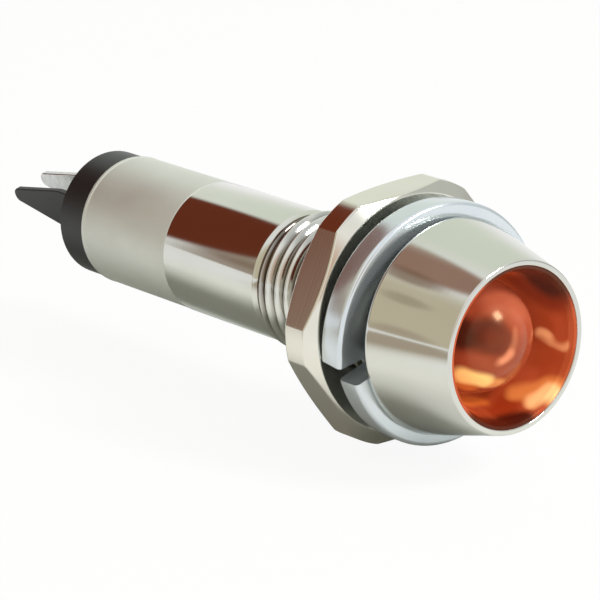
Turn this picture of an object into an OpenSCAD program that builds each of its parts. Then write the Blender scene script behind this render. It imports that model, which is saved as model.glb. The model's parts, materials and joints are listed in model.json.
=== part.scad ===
// Panel pilot light for a 10 mm hole: a plated brass bezel with a fine thread,
// a hexagon nut and an open spring washer, and an amber lens over a 5 mm LED.
// The lamp lies along Y. The front looks towards -Y, +Z is up, and the origin is the
// centre of the head's rear shoulder, which seats on the front of the panel.

/* [Head] */
// Outside diameter of the front rim
rim_d = 11.74; // [11.2:0.02:12.6]
// Diameter of the head's rear shoulder
head_d = 14.9; // [13.4:0.1:17]
// Length of the head, from the panel seat to the front rim
head_len = 6.65; // [6:0.05:7.4]
// Thickness of the bright lip round the mouth of the cup
lip_t = 0.35; // [0.2:0.05:0.5]
// Chamfer on the edge of the rear shoulder
shoulder_chamfer = 0.25; // [0.1:0.05:0.5]

/* [Cup and lens] */
// Wall of the amber liner in the cup
liner_t = 0.4; // [0.25:0.05:0.45]
// How far the liner's front edge lies behind the rim
liner_recess = 0.12; // [0.05:0.01:0.4]
// Diameter of the lens dome
lens_d = 7.8; // [7.2:0.1:8]
// How far the tip of the dome lies behind the rim
lens_recess = 0.25; // [0.1:0.05:0.6]
// Wall of the hollow lens
lens_wall = 0.95; // [0.6:0.05:1.1]
// How far the lens flange stands out from the dome
lens_flange_w = 0.6; // [0.3:0.05:0.7]
// Thickness of the lens flange
lens_flange_t = 0.8; // [0.5:0.05:1]
// Depth of the shoulder that the lens flange seats on, in front of the panel seat
lens_seat = 1.3; // [0.8:0.05:1.6]

/* [Barrel] */
// Outside diameter of the mounting thread
thread_d = 10; // [9.8:0.05:10.4]
// Length of the mounting thread from the panel seat
thread_len = 15; // [12:0.5:18]
// Chamfer at the end of the thread
thread_chamfer = 0.25; // [0.1:0.05:0.26]
// Diameter of the smooth front barrel
barrel_d = 9.46; // [9.3:0.02:9.6]
// Distance from the panel seat to the seam of the rear sleeve
barrel_len = 24.9; // [23:0.1:27]
// Diameter of the bore through the barrel
bore_d = 7.4; // [7.2:0.05:7.6]
// Length of the spigot that the rear sleeve slides over
spigot_len = 3.5; // [2:0.1:4]
// Wall of the spigot
spigot_wall = 0.4; // [0.3:0.05:0.5]
// Small chamfer on each edge of the seam
seam_chamfer = 0.12; // [0.05:0.01:0.2]

/* [Rear sleeve and plug] */
// Outside diameter of the rear sleeve
sleeve_d = 9.4; // [9.3:0.02:9.6]
// Wall of the rear sleeve
sleeve_wall = 0.5; // [0.4:0.05:0.6]
// Length of the rear sleeve
sleeve_len = 9.85; // [9:0.05:12]
// Diameter of the rolled bead on the sleeve's rear edge
bead_d = 0.56; // [0.5:0.02:0.7]
// Diameter of the plug's head behind the sleeve
plug_d = 9.12; // [8.8:0.02:9.14]
// Length of the plug's head
plug_len = 2.85; // [1.5:0.05:4]
// Chamfer on the plug's rear edge
plug_chamfer = 0.3; // [0.1:0.05:0.8]
// Length of the plug's spigot inside the sleeve
plug_spigot = 3; // [2:0.1:3.5]

/* [Solder tags] */
// Distance between the middles of the two tags
tag_spacing = 2.54; // [2.3:0.02:2.8]
// Turn of the pair of tags about the lamp's axis, from +X towards +Z
tag_angle = 18; // [0:0.5:90]
// Thickness of a tag
tag_t = 0.5; // [0.3:0.05:0.7]
// Width of a tag where it leaves the plug
tag_w = 3.2; // [2:0.1:4]
// Width of a tag at its tip
tag_tip_w = 1.1; // [0.8:0.1:1.6]
// Length of a tag behind the plug
tag_len = 9.8; // [8:0.1:14]
// Length over which a tag tapers down to its tip
tag_taper = 6; // [4:0.1:7.5]
// Width of the stub that passes through the plug
stub_w = 1.5; // [1:0.1:1.8]
// Length of the stub in front of the plug
stub_len = 3; // [2.4:0.1:3.2]

/* [Nut and spring washer] */
// Size of the hexagon nut across its flats
nut_af = 17; // [15:0.1:18]
// Diameter to which the nut's corners are turned down
nut_corner_d = 18.36; // [18.1:0.02:19]
// Thickness of the hexagon nut
nut_t = 2.9; // [2:0.1:4]
// Angle of the chamfer that rounds the nut's corners
nut_chamfer_angle = 30; // [15:1:35]
// How far the nut's round face stays inside its flats
nut_face_inset = 0.2; // [0:0.05:0.4]
// Turn of the nut about the lamp's axis, from +X towards +Z
nut_turn = 5.4; // [0:0.2:60]
// How far the spring washer's edge stands out past the nut's flats
washer_lip = -0.2; // [-0.5:0.1:0.5]
// Inside diameter of the spring washer
washer_hole_d = 10.6; // [10.5:0.05:11.5]
// Thickness of the washer's section
washer_t = 1.9; // [1.2:0.1:2.4]
// Height of the open washer, measured over both its ends
washer_height = 3.4; // [2.8:0.05:5]
// How late the washer climbs: 1 climbs evenly, more keeps its first half nearly flat
washer_curl = 4; // [1:0.5:6]
// Chamfer on the corners of the washer's section
washer_chamfer = 0.22; // [0.05:0.01:0.4]
// Width of the washer's split
split_gap = 0.9; // [0.4:0.1:3]
// Place of the split about the lamp's axis, from +X towards +Z
split_angle = 195.5; // [0:0.5:360]

/* [LED] */
// Diameter of the LED
led_d = 5; // [4.8:0.1:5.2]
// Length of the LED from its tip to its base
led_len = 8.6; // [8.3:0.1:9]
// Diameter of the LED's flange
led_flange_d = 5.8; // [5.6:0.1:6]
// Thickness of the LED's flange
led_flange_t = 1; // [0.8:0.1:1.2]
// Depth of the flat that marks the cathode side
led_flat = 0.3; // [0.1:0.05:0.35]
// Free space between the LED's tip and the lens
led_tip_gap = 0.4; // [0.2:0.05:0.6]
// Thickness of the square leads
led_lead = 0.5; // [0.4:0.05:0.55]
// Length of the leads behind the LED's base
led_lead_len = 5.5; // [5:0.1:6]
// Size of the light-emitting chip
chip = 0.35; // [0.25:0.05:0.4]
// Diameter of the bond wire
bond_wire_d = 0.12; // [0.08:0.01:0.16]
// Height of the lead frame inside the LED, above its base
frame_h = 4.7; // [4:0.1:5]

/* [Wiring] */
// Diameter of the leads of the resistor and the diode
wire_d = 0.6; // [0.5:0.05:0.65]
// Length of the resistor's body
resistor_len = 6.3; // [5:0.1:7]
// Diameter of the resistor's bulged ends
resistor_d = 2.4; // [2:0.1:2.6]
// Diameter of the resistor's waist
resistor_waist_d = 2; // [1.4:0.1:2]
// Length of the diode's body
diode_len = 5.2; // [4:0.1:6]
// Diameter of the diode's body
diode_d = 2.6; // [2:0.1:2.8]
// Distance from the panel seat to the front ends of the two bodies
body_start = 13; // [12:0.1:15]
// Diameter of the solder joints at the LED
solder_d = 1.5; // [1.3:0.05:1.6]
// How much wider than a tag's stub the solder on it is
tag_solder_lap = 0.4; // [0.2:0.05:0.5]
// Length of the straight middle of a solder joint
solder_len = 0.9; // [0.5:0.1:1.2]
// Wall of the insulating tube in the barrel
tube_wall = 0.25; // [0.15:0.05:0.3]
// Thickness of the LED holder's rear wall
holder_floor = 0.85; // [0.5:0.05:1]
// Length of the holder's grip on the LED, in front of its flange
holder_grip = 2.3; // [1.5:0.1:2.4]

/* [Fits] */
// Radial clearance between pieces that are pushed together
fit_gap = 0.05; // [0.02:0.01:0.08]
// Radial clearance between the nut and the thread
thread_gap = 0.06; // [0.02:0.01:0.1]
// Clearance between the washer and the faces on each side of it
washer_gap = 0.05; // [0.02:0.01:0.1]

/* [Hidden] */
$fn = 96;
eps = 0.01;

// Radii and places of the bezel, with y measured back from the panel seat
rim_r = rim_d / 2;
head_r = head_d / 2;
mouth_r = rim_r - lip_t;
bore_r = bore_d / 2;
lens_r = lens_d / 2;
lens_flange_r = lens_r + lens_flange_w;
pocket_r = lens_flange_r + fit_gap;
pocket_y = -lens_seat - lens_flange_t;
sleeve_r = sleeve_d / 2;
sleeve_bore_r = sleeve_r - sleeve_wall;
spigot_r = sleeve_bore_r - fit_gap;
spigot_bore_r = spigot_r - spigot_wall;
spigot_bore_start = barrel_len - 2 * spigot_wall;
spigot_end = barrel_len + spigot_len;

// Places of the lens and the LED
lens_centre_y = -head_len + lens_recess + lens_r;
lens_bore_r = lens_r - lens_wall;
led_r = led_d / 2;
led_tip_y = lens_centre_y - lens_bore_r + led_tip_gap;
led_centre_y = led_tip_y + led_r;
led_base_y = led_tip_y + led_len;
led_flange_r = led_flange_d / 2;
led_flange_y = led_base_y - led_flange_t;
led_lead_end = led_base_y + led_lead_len;
holder_start = led_flange_y - holder_grip;
holder_end = led_base_y + holder_floor;

// Sizes of the lead frame: the anvil with the chip's cup, and the anode post beside it
frame_top_y = led_base_y - frame_h;
chip_cup_r = 0.5;
chip_cup_floor_r = 0.36;
chip_cup_depth = chip + 0.1;
chip_floor_y = frame_top_y + chip_cup_depth;
chip_top_y = chip_floor_y - chip;
anvil_w = 1.5;
anvil_depth = 1.3;
anvil_h = 1.7;
post_w = 0.7;
post_h = 1.2;
post_gap = 0.35;
anvil_x = -0.5;
post_x = anvil_x + anvil_w / 2 + post_gap + post_w / 2;
wire_arc_r = (post_x - anvil_x) / 2;

// Places of the wiring, from the LED's leads back to the tags
lane_x = tag_spacing / 2;
wire_x = lane_x + max(led_lead, tag_t) / 2 + wire_d / 2;
sleeve_end = barrel_len + sleeve_len;
plug_front = sleeve_end - plug_spigot;
plug_end = sleeve_end + plug_len;
stub_front = plug_front - stub_len;
tag_joint_y = stub_front + stub_len / 2;
wire_end = tag_joint_y + solder_len;
led_joint_y = led_lead_end - solder_len;
wire_start = led_joint_y - solder_len;
tube_end = spigot_bore_start - fit_gap;

// Places of the washer and the nut
washer_r = nut_af / 2 + washer_lip;
washer_hole_r = washer_hole_d / 2;
washer_front = washer_gap;
nut_front = washer_front + washer_height + washer_gap;
nut_back = nut_front + nut_t;
nut_corner_r = nut_corner_d / 2;
nut_face_r = nut_af / 2 - nut_face_inset;
nut_chamfer_h = (nut_corner_r - nut_face_r) * tan(nut_chamfer_angle);
nut_bore_r = thread_d / 2 + thread_gap;
split_turn = split_gap / washer_r * 180 / PI;
washer_steps = 80;

// Turns a shape made round +Z so that it lies along the lamp, from front to rear
module along_lamp() {
    rotate([-90, 0, 0]) children();
}

// A turned shape from a half section of [radius, y] points
module turned(section) {
    along_lamp() rotate_extrude() polygon(section);
}

// A round bar along the lamp from y0 to y1, at local x in the wiring's lane
module bar(r, y0, y1, x = 0) {
    translate([x, y0, 0]) along_lamp() cylinder(r = r, h = y1 - y0);
}

// A flat bar along the lamp, centred on x and z
module flat_bar(w, t, y0, y1, x = 0) {
    translate([x - w / 2, y0, -t / 2]) cube([w, y1 - y0, t]);
}

// Turns the wiring to the angle of the tags
module in_lane() {
    rotate([0, -tag_angle, 0]) children();
}

// Plated brass bezel: tapered head, mounting thread, smooth barrel and rear spigot
module bezel_body() {
    color([0.80, 0.80, 0.78]) turned([
        [mouth_r, -head_len],
        [rim_r, -head_len],
        [head_r, -shoulder_chamfer],
        [head_r - shoulder_chamfer, 0],
        [thread_d / 2, 0],
        [thread_d / 2, thread_len - thread_chamfer],
        [barrel_d / 2, thread_len],
        [barrel_d / 2, barrel_len - seam_chamfer],
        [barrel_d / 2 - seam_chamfer, barrel_len],
        [spigot_r, barrel_len],
        [spigot_r, spigot_end],
        [spigot_bore_r, spigot_end],
        [spigot_bore_r, spigot_bore_start],
        [bore_r, spigot_bore_start],
        [bore_r, -lens_seat],
        [pocket_r, -lens_seat],
        [pocket_r, pocket_y]
    ]);
}

// Amber liner that covers the cup's wall and holds the lens on its seat
module liner_cup() {
    front_y = -head_len + liner_recess;
    slope = (mouth_r - pocket_r) / (head_len + pocket_y);
    front_r = mouth_r - slope * liner_recess;
    color([0.75, 0.30, 0.12]) turned([
        [front_r - liner_t / 2, front_y],
        [front_r, front_y],
        [pocket_r, pocket_y],
        [lens_r + fit_gap, pocket_y],
        [lens_r + fit_gap, pocket_y - liner_t],
        [pocket_r - liner_t, pocket_y - liner_t],
        [front_r - liner_t, front_y + liner_t]
    ]);
}

// Hollow amber lens with its flange and its spigot in the bore
module lens_dome() {
    color([0.90, 0.42, 0.18, 0.8]) difference() {
        union() {
            intersection() {
                translate([0, lens_centre_y, 0]) along_lamp() sphere(r = lens_r);
                bar(lens_r, lens_centre_y - lens_r, lens_centre_y);
            }
            bar(lens_r, lens_centre_y, -lens_seat);
            bar(lens_flange_r, pocket_y, -lens_seat);
            bar(bore_r - fit_gap, -lens_seat, holder_start);
        }
        translate([0, lens_centre_y, 0]) along_lamp() sphere(r = lens_bore_r);
        bar(lens_bore_r, lens_centre_y, lens_centre_y + 2 * lens_r);
    }
}

// Outside of the LED's epoxy, with the flat on the cathode side of its flange
module led_outline() {
    translate([0, led_centre_y, 0]) along_lamp() sphere(r = led_r);
    bar(led_r, led_centre_y, led_base_y);
    difference() {
        bar(led_flange_r, led_flange_y, led_base_y);
        translate([-led_flange_r - eps, led_flange_y - eps, -led_flange_r])
            cube([led_flat + eps, led_flange_t + 2 * eps, 2 * led_flange_r]);
    }
}

module led_body() {
    color([0.95, 0.55, 0.25, 0.7]) in_lane() difference() {
        led_outline();
        cathode_shape();
        anode_shape();
        chip_shape();
        wire_shape();
        bar(chip_cup_r, frame_top_y, chip_floor_y, anvil_x);
    }
    color([0.95, 0.55, 0.25, 0.7]) in_lane() chip_cup_fill();
}

// Epoxy that fills the chip's cup round the chip and the wire
module chip_cup_fill() {
    difference() {
        chip_cup_shape();
        chip_shape();
        wire_shape();
    }
}

module chip_cup_shape() {
    translate([anvil_x, frame_top_y, 0]) along_lamp()
        cylinder(r1 = chip_cup_r, r2 = chip_cup_floor_r, h = chip_cup_depth);
}

module chip_shape() {
    flat_bar(chip, chip, chip_top_y, chip_floor_y, anvil_x);
}

module led_chip() {
    color([0.95, 0.85, 0.35]) in_lane() chip_shape();
}

module cathode_shape() {
    difference() {
        flat_bar(anvil_w, anvil_depth, frame_top_y, frame_top_y + anvil_h, anvil_x);
        chip_cup_shape();
    }
    flat_bar(led_lead, led_lead, frame_top_y + anvil_h, led_lead_end, -lane_x);
}

module led_cathode() {
    color([0.78, 0.78, 0.76]) in_lane() cathode_shape();
}

module anode_shape() {
    flat_bar(post_w, anvil_depth, chip_top_y, chip_top_y + post_h, post_x);
    flat_bar(led_lead, led_lead, chip_top_y + post_h, led_lead_end, lane_x);
}

module led_anode() {
    color([0.78, 0.78, 0.76]) in_lane() anode_shape();
}

// Fine wire that arches from the chip to the anode post
module wire_shape() {
    translate([anvil_x + wire_arc_r, chip_top_y, 0]) rotate([0, 0, 180])
        rotate_extrude(angle = 180) translate([wire_arc_r, 0]) circle(d = bond_wire_d, $fn = 16);
}

module bond_wire() {
    color([0.85, 0.68, 0.30]) in_lane() wire_shape();
}

// Black holder that grips the LED in the bore
module led_holder() {
    lead_hole = led_lead + 2 * fit_gap;
    color([0.12, 0.12, 0.12]) in_lane() difference() {
        bar(bore_r - fit_gap, holder_start, holder_end);
        bar(led_r + fit_gap, holder_start - eps, led_flange_y);
        bar(led_flange_r + fit_gap, led_flange_y - eps, led_base_y);
        for (x = [-lane_x, lane_x])
            flat_bar(lead_hole, lead_hole, led_base_y - eps, holder_end + eps, x);
    }
}

// Tube that keeps the wiring off the brass
module insulating_tube() {
    tube_r = bore_r - fit_gap;
    color([0.85, 0.82, 0.70]) difference() {
        bar(tube_r, holder_end, tube_end);
        bar(tube_r - tube_wall, holder_end - eps, tube_end + eps);
    }
}

// Body of an axial resistor with bulged ends
module resistor_body() {
    end_len = resistor_len / 4;
    step = (resistor_d - resistor_waist_d) / 2;
    color([0.78, 0.66, 0.45]) in_lane() translate([wire_x, body_start, 0]) turned([
        [0, 0],
        [resistor_d / 2 - step, 0],
        [resistor_d / 2, step],
        [resistor_d / 2, end_len],
        [resistor_waist_d / 2, end_len + step],
        [resistor_waist_d / 2, resistor_len - end_len - step],
        [resistor_d / 2, resistor_len - end_len],
        [resistor_d / 2, resistor_len - step],
        [resistor_d / 2 - step, resistor_len],
        [0, resistor_len]
    ]);
}

module resistor_front_lead() {
    color([0.75, 0.75, 0.73]) in_lane() bar(wire_d / 2, wire_start, body_start, wire_x);
}

module resistor_rear_lead() {
    color([0.75, 0.75, 0.73]) in_lane()
        bar(wire_d / 2, body_start + resistor_len, wire_end, wire_x);
}

// Body of the diode that guards the LED against reversed current
module diode_body() {
    edge = 0.2;
    color([0.10, 0.10, 0.11]) in_lane() translate([-wire_x, body_start, 0]) turned([
        [0, 0],
        [diode_d / 2 - edge, 0],
        [diode_d / 2, edge],
        [diode_d / 2, diode_len - edge],
        [diode_d / 2 - edge, diode_len],
        [0, diode_len]
    ]);
}

module diode_front_lead() {
    color([0.75, 0.75, 0.73]) in_lane() bar(wire_d / 2, wire_start, body_start, -wire_x);
}

module diode_rear_lead() {
    color([0.75, 0.75, 0.73]) in_lane()
        bar(wire_d / 2, body_start + diode_len, wire_end, -wire_x);
}

// A bead of solder round a flat conductor of thickness t and the wire beside it
module solder_bead(d, t, y) {
    x = (lane_x - t / 2 + wire_x + wire_d / 2) / 2;
    bar(d / 2, y - solder_len / 2, y + solder_len / 2, x);
    for (end = [-1, 1])
        translate([x, y + end * solder_len / 2, 0]) along_lamp() sphere(d = d);
}

// The solder joints of one half of the wiring; the other half is its mirror image
module both_lanes() {
    color([0.68, 0.69, 0.70]) in_lane() {
        children();
        mirror([1, 0, 0]) children();
    }
}

module led_solder_joints() {
    both_lanes() difference() {
        solder_bead(solder_d, led_lead, led_joint_y);
        flat_bar(led_lead, led_lead, led_base_y, led_lead_end, lane_x);
        bar(wire_d / 2, wire_start, body_start, wire_x);
    }
}

module tag_solder_joints() {
    both_lanes() difference() {
        solder_bead(stub_w + tag_solder_lap, tag_t, tag_joint_y);
        flat_bar(tag_t, stub_w, stub_front, plug_front, lane_x);
        bar(wire_d / 2, body_start, wire_end, wire_x);
    }
}

// Plated rear sleeve with a rolled bead at its open end
module rear_sleeve() {
    bead_r = bead_d / 2;
    color([0.84, 0.84, 0.82]) union() {
        turned([
            [sleeve_bore_r, barrel_len],
            [sleeve_r - seam_chamfer, barrel_len],
            [sleeve_r, barrel_len + seam_chamfer],
            [sleeve_r, sleeve_end - bead_r],
            [sleeve_bore_r, sleeve_end - bead_r]
        ]);
        translate([0, sleeve_end - bead_r, 0]) along_lamp()
            rotate_extrude() translate([sleeve_r - bead_r, 0]) circle(d = bead_d, $fn = 32);
    }
}

// Black plug that closes the sleeve and carries the two tags
module insulator_plug() {
    slot_w = stub_w + 2 * fit_gap;
    slot_t = tag_t + 2 * fit_gap;
    color([0.07, 0.07, 0.08]) difference() {
        turned([
            [0, plug_front],
            [sleeve_r - bead_d - fit_gap, plug_front],
            [sleeve_r - bead_d - fit_gap, sleeve_end],
            [plug_d / 2, sleeve_end],
            [plug_d / 2, plug_end - plug_chamfer],
            [plug_d / 2 - plug_chamfer, plug_end],
            [0, plug_end]
        ]);
        in_lane() for (side = [-1, 1])
            flat_bar(slot_t, slot_w, plug_front - eps, plug_end + eps, side * lane_x);
    }
}

// A solder tag: a narrow stub through the plug, then a blade that tapers to a round tip
module tag(side) {
    tag_end = plug_end + tag_len;
    taper_end = tag_end - tag_tip_w / 2;
    in_lane() translate([side * lane_x, 0, 0]) {
        flat_bar(tag_t, stub_w, stub_front, plug_end);
        translate([-tag_t / 2, 0, 0]) rotate([90, 0, 90]) linear_extrude(height = tag_t) union() {
            polygon([
                [plug_end, -tag_w / 2],
                [tag_end - tag_taper, -tag_w / 2],
                [taper_end, -tag_tip_w / 2],
                [taper_end, tag_tip_w / 2],
                [tag_end - tag_taper, tag_w / 2],
                [plug_end, tag_w / 2]
            ]);
            translate([taper_end, 0]) circle(d = tag_tip_w, $fn = 48);
        }
    }
}

module positive_tag() {
    color([0.70, 0.71, 0.72]) tag(1);
}

module negative_tag() {
    color([0.16, 0.16, 0.17]) tag(-1);
}

// Spring washer: one open turn of a chamfered square section. Its front end rests by
// the head, and the end of the turn curls towards the nut until it meets it.
function washer_section() = [
    [washer_hole_r + washer_chamfer, 0],
    [washer_r - washer_chamfer, 0],
    [washer_r, washer_chamfer],
    [washer_r, washer_t - washer_chamfer],
    [washer_r - washer_chamfer, washer_t],
    [washer_hole_r + washer_chamfer, washer_t],
    [washer_hole_r, washer_t - washer_chamfer],
    [washer_hole_r, washer_chamfer]
];

function washer_ring(step) =
    let (
        part = step / washer_steps,
        angle = split_angle + split_turn / 2 + part * (360 - split_turn),
        rise = washer_front + pow(part, washer_curl) * (washer_height - washer_t)
    )
    [for (p = washer_section()) [p[0] * cos(angle), rise + p[1], p[0] * sin(angle)]];

module spring_washer() {
    n = len(washer_section());
    points = [for (step = [0:washer_steps]) each washer_ring(step)];
    walls = [
        for (step = [0:washer_steps - 1], k = [0:n - 1])
            let (a = step * n + k, b = step * n + (k + 1) % n)
            [a, b, b + n, a + n]
    ];
    front_end = [for (k = [n - 1:-1:0]) k];
    rear_end = [for (k = [0:n - 1]) washer_steps * n + k];
    color([0.76, 0.77, 0.76]) polyhedron(points, concat(walls, [front_end, rear_end]), convexity = 6);
}

// Hexagon nut with its corners turned down and both faces chamfered
module hex_nut() {
    color([0.80, 0.78, 0.72]) difference() {
        intersection() {
            translate([0, nut_front, 0]) rotate([0, -nut_turn, 0]) along_lamp()
                cylinder(r = nut_af / 2 / cos(30), h = nut_t, $fn = 6);
            turned([
                [0, nut_front],
                [nut_face_r, nut_front],
                [nut_corner_r, nut_front + nut_chamfer_h],
                [nut_corner_r, nut_back - nut_chamfer_h],
                [nut_face_r, nut_back],
                [0, nut_back]
            ]);
        }
        bar(nut_bore_r, nut_front - eps, nut_back + eps);
    }
}

bezel_body();
liner_cup();
lens_dome();
led_body();
led_chip();
led_anode();
led_cathode();
bond_wire();
led_holder();
insulating_tube();
resistor_body();
resistor_front_lead();
resistor_rear_lead();
diode_body();
diode_front_lead();
diode_rear_lead();
led_solder_joints();
tag_solder_joints();
rear_sleeve();
insulator_plug();
positive_tag();
negative_tag();
spring_washer();
hex_nut();
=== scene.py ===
# %% [markdown]
# # A panel pilot light
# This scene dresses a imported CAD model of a 10 mm panel pilot light. The CAD model gives the
# place and size of every piece. What is made here is the surface: plated brass, spring steel,
# amber plastic, black plastic and tinned tags, and the fine thread that the CAD model leaves plain.
# Sizes are written in millimetres and turned to metres by MM, unless a comment says otherwise.

# %% Load the frame
import json
import math

import bmesh
import bpy
from mathutils import Matrix, Vector

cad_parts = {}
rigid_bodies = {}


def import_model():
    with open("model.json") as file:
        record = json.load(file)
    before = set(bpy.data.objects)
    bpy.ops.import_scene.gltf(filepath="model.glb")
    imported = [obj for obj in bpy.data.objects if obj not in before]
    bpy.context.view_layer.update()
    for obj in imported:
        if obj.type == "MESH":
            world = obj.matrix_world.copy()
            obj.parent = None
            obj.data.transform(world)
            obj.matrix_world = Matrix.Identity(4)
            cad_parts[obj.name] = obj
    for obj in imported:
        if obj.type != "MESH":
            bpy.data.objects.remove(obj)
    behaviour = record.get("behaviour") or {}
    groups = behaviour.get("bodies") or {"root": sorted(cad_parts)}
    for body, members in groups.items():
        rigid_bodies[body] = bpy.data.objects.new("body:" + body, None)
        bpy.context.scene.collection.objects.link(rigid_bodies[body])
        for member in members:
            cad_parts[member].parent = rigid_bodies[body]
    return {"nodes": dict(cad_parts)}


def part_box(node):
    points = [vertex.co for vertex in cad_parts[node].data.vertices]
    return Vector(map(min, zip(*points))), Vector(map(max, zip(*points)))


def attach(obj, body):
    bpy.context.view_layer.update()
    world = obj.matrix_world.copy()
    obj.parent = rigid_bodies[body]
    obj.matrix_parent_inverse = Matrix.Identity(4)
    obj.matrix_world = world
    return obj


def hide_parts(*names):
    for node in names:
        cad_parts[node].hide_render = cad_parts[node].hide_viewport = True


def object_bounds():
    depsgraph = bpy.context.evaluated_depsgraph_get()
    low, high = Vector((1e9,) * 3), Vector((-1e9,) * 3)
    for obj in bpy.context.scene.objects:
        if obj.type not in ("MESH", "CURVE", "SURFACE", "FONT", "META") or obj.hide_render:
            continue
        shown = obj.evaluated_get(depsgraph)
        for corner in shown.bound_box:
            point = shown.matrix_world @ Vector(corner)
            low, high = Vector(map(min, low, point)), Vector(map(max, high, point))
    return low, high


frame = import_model()
cad_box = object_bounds()
MM = 0.001
print("CAD box:", cad_box)

# %% [markdown]
# ## Camera
# A long lens from far away keeps the lamp's outlines almost parallel, which suits a small part.
# The camera stands to the left of the lamp's front and a little above it.

# %% Where the viewer stands
VIEW_AZIMUTH = -39.4  # degrees
VIEW_ELEVATION = 16.4  # degrees
VIEW_DISTANCE = 275 * MM
VIEW_TARGET = Vector((1.78, 17.64, -2.59)) * MM


def view_vector(azimuth, elevation):
    """The direction from the target to a viewer: azimuth 0 is in front, at -Y."""
    a, e = math.radians(azimuth), math.radians(elevation)
    return Vector((math.sin(a) * math.cos(e), -math.cos(a) * math.cos(e), math.sin(e)))


toward_viewer = view_vector(VIEW_AZIMUTH, VIEW_ELEVATION)
print("The viewer's direction:", [round(v, 2) for v in toward_viewer])

# %% Camera
LENS = 235.7  # focal length in mm
SENSOR_WIDTH = 36  # in mm
CLIP_START = 0.01  # in metres
camera_data = bpy.data.cameras.new("camera")
camera_data.lens = LENS
camera_data.sensor_width = SENSOR_WIDTH
camera_data.clip_start = CLIP_START
camera = bpy.data.objects.new("camera", camera_data)
camera.location = VIEW_TARGET + toward_viewer * VIEW_DISTANCE
camera.rotation_euler = toward_viewer.to_track_quat("Z", "Y").to_euler()
bpy.context.scene.collection.objects.link(camera)
bpy.context.scene.camera = camera
print("Camera at", [round(v / MM, 1) for v in camera.location], "mm")

# %% [markdown]
# ## Small helpers
# Colours are written as sRGB hex values and turned linear by one function. One more function
# adds a node, sets it and links it.


# %% Colour helper
def srgb(text):
    """A hex colour such as "C8C4BC" as linear red, green, blue and an alpha of 1."""
    values = [int(text[i : i + 2], 16) / 255 for i in (0, 2, 4)]
    linear = [v / 12.92 if v <= 0.04045 else ((v + 0.055) / 1.055) ** 2.4 for v in values]
    return (*linear, 1.0)


WHITE = srgb("FFFFFF")
print("White, linear:", WHITE)


# %% Node helpers
def add_node(tree, kind, sockets=None, stops=(), **settings):
    """Adds a node, sets it and links it.

    sockets maps an input's name or index to a value or to a socket to link, and stops are the
    (position, hex colour) pairs of a colour ramp.
    """
    node = tree.nodes.new(kind)
    for name, value in settings.items():
        setattr(node, name, value)
    for i, (position, colour) in enumerate(stops):
        elements = node.color_ramp.elements
        element = elements[i] if i < len(elements) else elements.new(1.0)
        element.position = position
        element.color = srgb(colour)
    for key, value in (sockets or {}).items():
        if isinstance(value, bpy.types.NodeSocket):
            tree.links.new(value, node.inputs[key])
        else:
            node.inputs[key].default_value = value
    return node


def new_material(name):
    """An empty node material with its output, ready for a shader."""
    material = bpy.data.materials.new(name)
    material.use_nodes = True
    material.node_tree.nodes.clear()
    return material, material.node_tree


def finish_material(tree, shader):
    """Links a shader to the material's output."""
    add_node(tree, "ShaderNodeOutputMaterial", {"Surface": shader.outputs[0]})


print("Node helpers ready")

# %% [markdown]
# ## Plated metal
# The bezel, the sleeve and the nut are turned brass with nickel plating. The plating is bright,
# but the tool leaves fine rings round the piece and the bath leaves faint clouds, so the
# reflections are never quite as sharp as in glass. The rings are a noise that changes quickly
# along the lamp and slowly round it. A lathe leaves rings about 0.05 mm apart; they are drawn
# 0.12 to 0.25 mm apart here so that they show. On the bezel a mask by distance from the axis lays
# painted shade, brown, in the thread's roots between the crests.

# %% Lathe rings
RING_SPREAD = 60  # changes per metre across the lamp, so few that a ring runs right round


def ring_coordinates(tree, spacing_mm):
    """Object coordinates squeezed so that a noise forms rings round the lamp's axis."""
    place = add_node(tree, "ShaderNodeTexCoord")
    along = 1 / (spacing_mm * MM)
    squeezed = add_node(
        tree,
        "ShaderNodeMapping",
        {"Vector": place.outputs["Object"], "Scale": (RING_SPREAD, along, RING_SPREAD)},
    )
    return place, squeezed


print("Ring pattern ready")

# %% Thread roots, with painted shade
THREAD_ROOT_R = 4.45
THREAD_SHADE_R = 4.85  # where the brown of the roots has faded out
THREAD_END = 15.0
THREAD_SHADE_END = THREAD_END - 0.4


def painted_root_shade_mask(tree, place):
    """1 in the grooves of the thread, where shade is painted, and 0 on its crests and beyond its
    end.
    """
    across = add_node(tree, "ShaderNodeVectorMath", {0: place, 1: (1, 0, 1)}, operation="MULTIPLY")
    radius = add_node(tree, "ShaderNodeVectorMath", {0: across.outputs[0]}, operation="LENGTH")
    depth = add_node(
        tree,
        "ShaderNodeMapRange",
        {
            "Value": radius.outputs["Value"],
            "From Min": THREAD_ROOT_R * MM,
            "From Max": THREAD_SHADE_R * MM,
            "To Min": 1.0,
            "To Max": 0.0,
        },
    )
    along = add_node(tree, "ShaderNodeSeparateXYZ", {0: place}).outputs["Y"]
    before_end = add_node(
        tree, "ShaderNodeMath", {0: along, 1: THREAD_SHADE_END * MM}, operation="LESS_THAN"
    )
    return add_node(
        tree,
        "ShaderNodeMath",
        {0: depth.outputs[0], 1: before_end.outputs[0]},
        operation="MULTIPLY",
    ).outputs[0]


print("Thread roots shaded from", THREAD_ROOT_R, "to", THREAD_SHADE_R, "mm")

# %% Plated metal
CLOUD_MM = 4  # size of the plating's clouds
CLOUD_THIN, CLOUD_THICK = 0.35, 0.7  # values of the noise between which the gloss changes
GLOSS_LOW, GLOSS_HIGH = 0.95, 1.1  # shares of the roughness at those two values


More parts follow.
